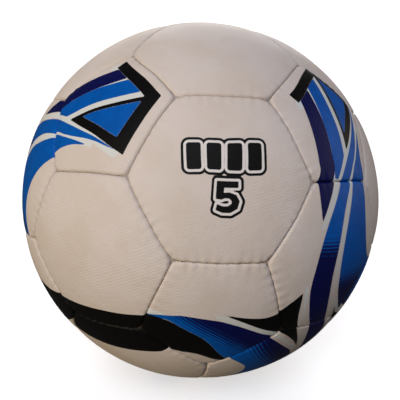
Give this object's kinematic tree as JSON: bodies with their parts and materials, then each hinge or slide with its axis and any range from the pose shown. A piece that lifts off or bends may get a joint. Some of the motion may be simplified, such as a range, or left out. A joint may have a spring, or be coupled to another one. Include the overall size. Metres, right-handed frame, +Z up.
{
  "type": "soccer ball",
  "caption": "Hand-stitched soccer ball of hexagonal and pentagonal synthetic-leather panels over an inflated bladder with a needle valve.",
  "frame": {"origin": "centre of the ball", "axes": "+Z up as the ball lies; the front hexagon faces -Y and tips 17.4 degrees up; the valve is behind, towards -X +Y"},
  "size_m": [0.22, 0.22, 0.22],
  "materials": {
    "cover": "semi-matte off-white synthetic leather with fine embossed grain and printed bands",
    "foam": "matte closed-cell foam",
    "lining": "woven polyester and cotton cloth",
    "thread": "waxed polyester thread",
    "bladder": "satin black rubber",
    "valve": "satin black rubber",
    "patch": "rubberised cloth"
  },
  "bodies": {
    "root": {"bladder": "bladder", "hexagon_foam": "foam", "hexagon_lining": "lining", "hexagon_panel_01": "cover", "hexagon_panel_02": "cover", "hexagon_panel_03": "cover", "hexagon_panel_04": "cover", "hexagon_panel_05": "cover", "hexagon_panel_06": "cover", "hexagon_panel_07": "cover", "hexagon_panel_08": "cover", "hexagon_panel_09": "cover", "hexagon_panel_10": "cover", "hexagon_panel_11": "cover", "hexagon_panel_12": "cover", "hexagon_panel_13": "cover", "hexagon_panel_14": "cover", "hexagon_panel_15": "cover", "hexagon_panel_16": "cover", "hexagon_panel_17": "cover", "hexagon_panel_19": "cover", "hexagon_panel_20": "cover", "hexagon_seam_thread": "thread", "pentagon_foam": "foam", "pentagon_lining": "lining", "pentagon_panel_01": "cover", "pentagon_panel_02": "cover", "pentagon_panel_03": "cover", "pentagon_panel_04": "cover", "pentagon_panel_05": "cover", "pentagon_panel_06": "cover", "pentagon_panel_07": "cover", "pentagon_panel_08": "cover", "pentagon_panel_09": "cover", "pentagon_panel_10": "cover", "pentagon_panel_11": "cover", "pentagon_panel_12": "cover", "pentagon_seam_thread": "thread", "valve_housing": "valve", "valve_panel": "cover", "valve_patch": "patch", "valve_plug": "valve"}
  },
  "joints": []
}
